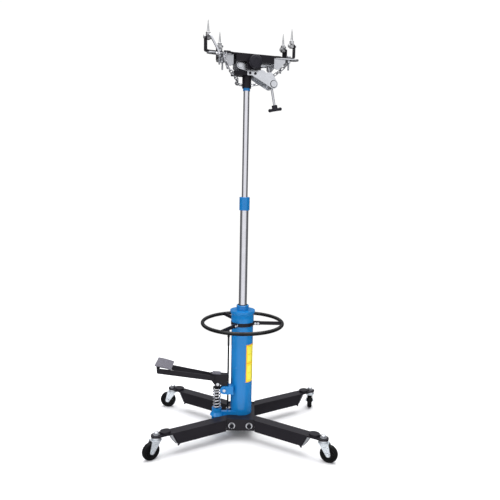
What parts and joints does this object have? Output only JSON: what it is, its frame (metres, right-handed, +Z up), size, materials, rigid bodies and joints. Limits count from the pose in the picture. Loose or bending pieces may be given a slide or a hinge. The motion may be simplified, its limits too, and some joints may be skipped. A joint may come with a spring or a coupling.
{
  "type": "transmission jack",
  "caption": "Two-stage hydraulic transmission jack on a wheeled cross base, with foot pump, handle ring and tilting saddle with adjustable arms.",
  "frame": {"origin": "centre of the base on the floor, under the ram", "axes": "+Z up along the rams; -Y towards the front, where the label side and two of the legs face; the foot pump is on the -X side"},
  "size_m": [0.8081, 0.6094, 1.7688],
  "materials": {
    "black_paint": "satin",
    "blue_paint": "gloss",
    "zinc": "satin",
    "chrome": "polished",
    "steel": "satin",
    "wheel_plastic": "satin",
    "black_plastic": "satin",
    "seal_rubber": "matte",
    "pad_grey": "matte",
    "label_yellow": "satin"
  },
  "bodies": {
    "stand": {"base_block": "black_paint", "legs": "black_paint", "web_plates": "black_paint", "frame_bolts": "zinc", "caster_studs": "zinc", "reservoir_tube": "blue_paint", "pressure_tube": "steel", "cylinder_head": "blue_paint", "gland_nut": "blue_paint", "rod_wiper": "seal_rubber", "pump_body": "blue_paint", "release_valve": "zinc", "fulcrum_bracket": "blue_paint", "fulcrum_pin": "zinc", "label": "label_yellow", "clamp_band": "black_paint", "ring_handle": "black_paint", "ring_spokes": "black_paint"},
    "release": {"release_rod": "black_paint"},
    "pedal": {"pedal_lever": "black_paint", "pedal_pad": "pad_grey", "clevis_pin": "zinc"},
    "plunger": {"pump_plunger": "steel", "pump_spring": "steel"},
    "ram1": {"ram1_tube": "chrome", "ram1_piston": "steel", "ram1_collar": "blue_paint"},
    "ram2": {"ram2_rod": "chrome", "ram2_piston": "steel", "stop_ring": "blue_paint"},
    "head": {"head_socket": "black_paint", "cheek_plates": "zinc", "head_bolts": "black_paint", "trunnion_nut": "zinc"},
    "frame": {"side_frame": "zinc", "frame_pins": "zinc"},
    "swivel": {"swivel_block": "zinc"},
    "screw": {"tilt_screw": "zinc", "tilt_handle": "black_plastic"},
    "saddle": {"saddle": "black_paint", "arm_bolts": "zinc", "chain": "zinc"},
    "knob": {"tilt_knob": "black_plastic"},
    "arm_front_left": {"arm_front_left": "zinc"},
    "finger_front_left": {"finger_front_left": "black_paint"},
    "fork_front_left": {"fork_front_left": "zinc"},
    "wheel_front_left": {"wheel_front_left": "wheel_plastic"},
    "arm_front_right": {"arm_front_right": "zinc"},
    "finger_front_right": {"finger_front_right": "black_paint"},
    "fork_front_right": {"fork_front_right": "zinc"},
    "wheel_front_right": {"wheel_front_right": "wheel_plastic"},
    "arm_rear_left": {"arm_rear_left": "zinc"},
    "finger_rear_left": {"finger_rear_left": "black_paint"},
    "fork_rear_left": {"fork_rear_left": "zinc"},
    "wheel_rear_left": {"wheel_rear_left": "wheel_plastic"},
    "arm_rear_right": {"arm_rear_right": "zinc"},
    "finger_rear_right": {"finger_rear_right": "black_paint"},
    "fork_rear_right": {"fork_rear_right": "zinc"},
    "wheel_rear_right": {"wheel_rear_right": "wheel_plastic"}
  },
  "joints": [
    {"name": "ram1_slide", "type": "slide", "parent": "stand", "child": "ram1", "axis": [0, 0, 1], "range_m": [-0.415, 0]},
    {"name": "ram2_slide", "type": "slide", "parent": "ram1", "child": "ram2", "axis": [0, 0, 1], "range_m": [-0.44, 0]},
    {"name": "head_turn", "type": "hinge", "parent": "ram2", "child": "head", "pos_m": [0, 0, 1.54], "axis": [0, 0, 1], "continuous": true},
    {"name": "side_tilt", "type": "hinge", "parent": "head", "child": "frame", "pos_m": [-0.03782, -0.01302, 1.606], "axis": [-0.3256, 0.9455, 0], "range_deg": [-5, 5]},
    {"name": "swivel_turn", "type": "hinge", "parent": "frame", "child": "swivel", "pos_m": [0.08793, 0.03028, 1.626], "axis": [-0.3256, 0.9455, 0], "range_deg": [-6, 6]},
    {"name": "screw_turn", "type": "hinge", "parent": "swivel", "child": "screw", "pos_m": [0.08793, 0.03028, 1.626], "axis": [0.1885, 0.0649, -0.9799], "continuous": true},
    {"name": "fore_aft_tilt", "type": "hinge", "parent": "frame", "child": "saddle", "pos_m": [0, 0, 1.636], "axis": [0.9455, 0.3256, 0], "range_deg": [-5, 5]},
    {"name": "knob_turn", "type": "hinge", "parent": "saddle", "child": "knob", "pos_m": [0.03277, -0.05217, 1.619], "axis": [0.3256, -0.9455, 0], "continuous": true},
    {"name": "swing_front_left", "type": "hinge", "parent": "saddle", "child": "arm_front_left", "pos_m": [-0.07344, -0.05702, 1.644], "axis": [0, 0, 1], "range_deg": [-30, 4]},
    {"name": "slide_front_left", "type": "slide", "parent": "arm_front_left", "child": "finger_front_left", "axis": [-0.9063, -0.4226, 0], "range_m": [-0.005, 0.02]},
    {"name": "swing_front_right", "type": "hinge", "parent": "saddle", "child": "arm_front_right", "pos_m": [0.12323, 0.0107, 1.644], "axis": [0, 0, 1], "range_deg": [-30, 8]},
    {"name": "slide_front_right", "type": "slide", "parent": "arm_front_right", "child": "finger_front_right", "axis": [0.9744, 0.225, 0], "range_m": [-0.01, 0.015]},
    {"name": "swing_rear_left", "type": "hinge", "parent": "saddle", "child": "arm_rear_left", "pos_m": [-0.09297, -0.00028, 1.644], "axis": [0, 0, 1], "range_deg": [-10, 36]},
    {"name": "slide_rear_left", "type": "slide", "parent": "arm_rear_left", "child": "finger_rear_left", "axis": [-0.2924, 0.9563, 0], "range_m": [-0.005, 0.02]},
    {"name": "swing_rear_right", "type": "hinge", "parent": "saddle", "child": "arm_rear_right", "pos_m": [0.10369, 0.06743, 1.644], "axis": [0, 0, 1], "range_deg": [-8, 36]},
    {"name": "slide_rear_right", "type": "slide", "parent": "arm_rear_right", "child": "finger_rear_right", "axis": [0.788, 0.6157, 0], "range_m": [-0.01, 0.015]},
    {"name": "pedal_hinge", "type": "hinge", "parent": "stand", "child": "pedal", "pos_m": [-0.075, -0.035, 0.214], "axis": [0, -1, 0], "range_deg": [0, 22], "stiffness_Nm_per_rad": 4.5, "springref_deg": -34.38},
    {"name": "plunger_slide", "type": "slide", "parent": "stand", "child": "plunger", "axis": [0, 0, -1], "range_m": [0, 0.013], "deforming": ["pump_spring"]},
    {"name": "release_turn", "type": "hinge", "parent": "stand", "child": "release", "pos_m": [-0.06, -0.008, 0.3], "axis": [0, 0, 1], "range_deg": [0, 180]},
    {"name": "caster_front_left", "type": "hinge", "parent": "stand", "child": "fork_front_left", "pos_m": [-0.343, -0.251, 0.085], "axis": [0, 0, 1], "continuous": true},
    {"name": "wheel_spin_front_left", "type": "hinge", "parent": "fork_front_left", "child": "wheel_front_left", "pos_m": [-0.3627, -0.26639, 0.0375], "axis": [0.6157, -0.788, 0], "continuous": true},
    {"name": "caster_front_right", "type": "hinge", "parent": "stand", "child": "fork_front_right", "pos_m": [0.343, -0.251, 0.085], "axis": [0, 0, 1], "continuous": true},
    {"name": "wheel_spin_front_right", "type": "hinge", "parent": "fork_front_right", "child": "wheel_front_right", "pos_m": [0.36584, -0.26117, 0.0375], "axis": [0.4067, 0.9135, 0], "continuous": true},
    {"name": "caster_rear_left", "type": "hinge", "parent": "stand", "child": "fork_rear_left", "pos_m": [-0.343, 0.251, 0.085], "axis": [0, 0, 1], "continuous": true},
    {"name": "wheel_spin_rear_left", "type": "hinge", "parent": "fork_rear_left", "child": "wheel_rear_left", "pos_m": [-0.36794, 0.25274, 0.0375], "axis": [-0.0698, -0.9976, 0], "continuous": true},
    {"name": "caster_rear_right", "type": "hinge", "parent": "stand", "child": "fork_rear_right", "pos_m": [0.343, 0.251, 0.085], "axis": [0, 0, 1], "continuous": true},
    {"name": "wheel_spin_rear_right", "type": "hinge", "parent": "fork_rear_right", "child": "wheel_rear_right", "pos_m": [0.34561, 0.27586, 0.0375], "axis": [-0.9945, 0.1045, 0], "continuous": true}
  ],
  "couplings": [
    {"joint": "swivel_turn", "follows": "side_tilt", "ratio": -1},
    {"joint": "plunger_slide", "follows": "pedal_hinge", "m_per_rad": 0.0332}
  ]
}
